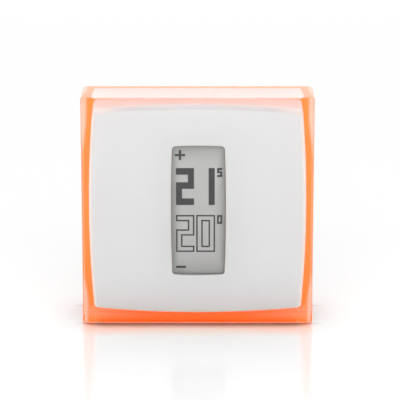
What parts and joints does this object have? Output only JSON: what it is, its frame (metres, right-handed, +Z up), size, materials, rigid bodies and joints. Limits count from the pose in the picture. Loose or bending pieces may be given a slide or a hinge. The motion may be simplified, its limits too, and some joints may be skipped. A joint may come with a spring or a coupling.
{
  "type": "wall thermostat",
  "caption": "Square battery room thermostat with a clear block front that rocks to set the temperature, an orange rim and an electronic-paper display.",
  "frame": {"origin": "centre of the wall plate's back face, which lies on the wall", "axes": "+X to the right seen from the front, +Y towards the wall through the depth, +Z up"},
  "size_m": [0.083, 0.022, 0.083],
  "materials": {
    "clear_acrylic": "polished, clear",
    "orange_film": "satin",
    "white_plastic": "fine matte",
    "light_grey_plastic": "fine matte",
    "display_grey": "satin",
    "black_plastic": "matte",
    "ivory_plastic": "matte",
    "amber_film": "glossy film",
    "board_green": "solder mask",
    "terminal_green": "matte",
    "bright_steel": "plated",
    "brass": "plain",
    "copper": "plain",
    "cell_wrapper": "printed wrapper",
    "capacitor_sleeve": "shrink sleeve"
  },
  "bodies": {
    "plate": {"wall_plate": "white_plastic", "terminal_block": "terminal_green", "terminal_contact_1": "brass", "terminal_contact_2": "brass"},
    "tray": {"base_tray": "light_grey_plastic", "main_board": "board_green", "processor_chip": "black_plastic", "radio_chip": "black_plastic", "radio_can": "bright_steel", "aerial": "copper", "crystal": "bright_steel", "relay": "ivory_plastic", "storage_capacitor": "capacitor_sleeve", "temperature_sensor": "black_plastic", "flex_connector": "ivory_plastic", "switch_housing_top": "black_plastic", "switch_housing_bottom": "black_plastic", "pivot_pin_left": "bright_steel", "pivot_pin_right": "bright_steel", "negative_contact": "bright_steel", "positive_contact": "bright_steel", "bridge_contact_left": "bright_steel", "bridge_contact_right": "bright_steel", "board_screw_1": "bright_steel", "board_screw_2": "bright_steel", "board_screw_3": "bright_steel", "board_screw_4": "bright_steel", "battery_cell_1": "cell_wrapper", "battery_spring_1": "bright_steel", "battery_cell_2": "cell_wrapper", "battery_spring_2": "bright_steel", "battery_cell_3": "cell_wrapper", "battery_spring_3": "bright_steel"},
    "front": {"clear_block": "clear_acrylic", "colour_sheet": "orange_film", "front_shell": "white_plastic", "display_panel": "display_grey", "display_frame": "black_plastic", "display_flex": "amber_film"},
    "plunger_top": {"switch_plunger_top": "white_plastic"},
    "plunger_bottom": {"switch_plunger_bottom": "white_plastic"},
    "screw_1": {"terminal_screw_1": "bright_steel"},
    "screw_2": {"terminal_screw_2": "bright_steel"},
    "cage_1": {"clamp_cage_1": "brass"},
    "cage_2": {"clamp_cage_2": "brass"}
  },
  "joints": [
    {"name": "pull_off", "type": "slide", "parent": "plate", "child": "tray", "axis": [0, -1, 0], "range_m": [0, 0.03]},
    {"name": "front_rock", "type": "hinge", "parent": "tray", "child": "front", "pos_m": [0, -0.009, 0], "axis": [-1, 0, 0], "range_deg": [-0.8, 0.8], "stiffness_Nm_per_rad": 6},
    {"name": "top_switch_travel", "type": "slide", "parent": "tray", "child": "plunger_top", "axis": [0, 1, 0], "range_m": [-0.00045, 0.00045]},
    {"name": "bottom_switch_travel", "type": "slide", "parent": "tray", "child": "plunger_bottom", "axis": [0, 1, 0], "range_m": [-0.00045, 0.00045]},
    {"name": "clamp_cage_1_rise", "type": "slide", "parent": "plate", "child": "cage_1", "axis": [0, -1, 0], "range_m": [0, 0.0015]},
    {"name": "terminal_screw_1_turn", "type": "hinge", "parent": "plate", "child": "screw_1", "pos_m": [-0.0171, -0.0101, 0.0175], "axis": [0, 1, 0], "range_deg": [0, 1081]},
    {"name": "clamp_cage_2_rise", "type": "slide", "parent": "plate", "child": "cage_2", "axis": [0, -1, 0], "range_m": [0, 0.0015]},
    {"name": "terminal_screw_2_turn", "type": "hinge", "parent": "plate", "child": "screw_2", "pos_m": [-0.0109, -0.0101, 0.0175], "axis": [0, 1, 0], "range_deg": [0, 1081]}
  ],
  "couplings": [
    {"joint": "top_switch_travel", "follows": "front_rock", "m_per_rad": 0.031},
    {"joint": "bottom_switch_travel", "follows": "front_rock", "m_per_rad": -0.031},
    {"joint": "terminal_screw_1_turn", "follows": "clamp_cage_1_rise", "rad_per_m": 12566},
    {"joint": "terminal_screw_2_turn", "follows": "clamp_cage_2_rise", "rad_per_m": 12566}
  ]
}
